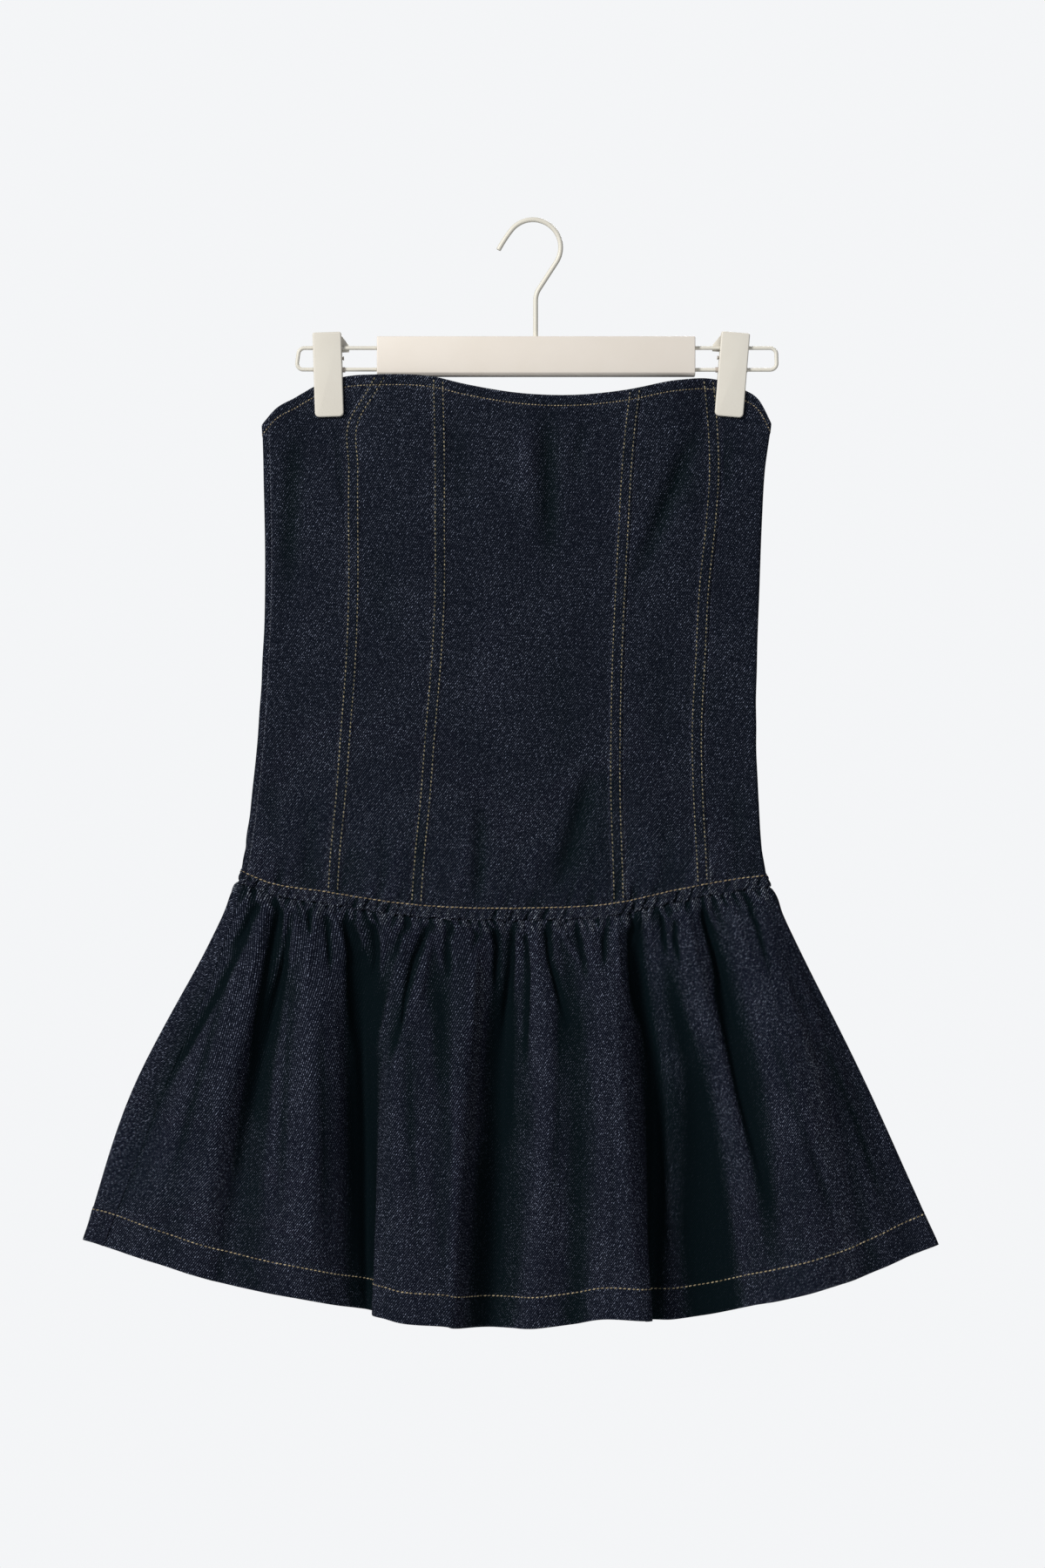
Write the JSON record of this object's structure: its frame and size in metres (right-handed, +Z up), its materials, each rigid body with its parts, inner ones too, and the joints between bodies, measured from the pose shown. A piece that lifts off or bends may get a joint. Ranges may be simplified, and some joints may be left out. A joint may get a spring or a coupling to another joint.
{
  "type": "strapless denim frill dress on a clip hanger",
  "caption": "Strapless mini dress with a panelled bodice and a gathered frill, clipped by its neckline to a wire and bar hanger.",
  "frame": {"origin": "top of the inner curve of the hanger's hook, where it bears on a rail or wall hook", "axes": "+Z up, the dress's front faces -Y, +X to the right as seen from the front"},
  "size_m": [0.6661, 0.071, 0.8638],
  "materials": {
    "denim": "raw indigo denim, matte, with gold topstitching",
    "hanger_bar": "cream, satin",
    "hanger_wire": "cream paint, satin",
    "clip": "cream paint, satin"
  },
  "bodies": {
    "root": {"bodice_front_centre": "denim", "bodice_front_mid_left": "denim", "bodice_front_mid_right": "denim", "bodice_front_side_left": "denim", "bodice_front_side_right": "denim", "bodice_back_side_left": "denim", "bodice_back_side_right": "denim", "bodice_back_centre_left": "denim", "bodice_back_centre_right": "denim", "frill_front": "denim", "frill_back": "denim", "hanger_bar": "hanger_bar", "hanger_hook": "hanger_wire", "hanger_loop_left": "hanger_wire", "hanger_loop_right": "hanger_wire", "clip_left_front": "clip", "clip_left_back": "clip", "clip_left_pivot": "clip", "clip_right_front": "clip", "clip_right_back": "clip", "clip_right_pivot": "clip"}
  },
  "joints": []
}
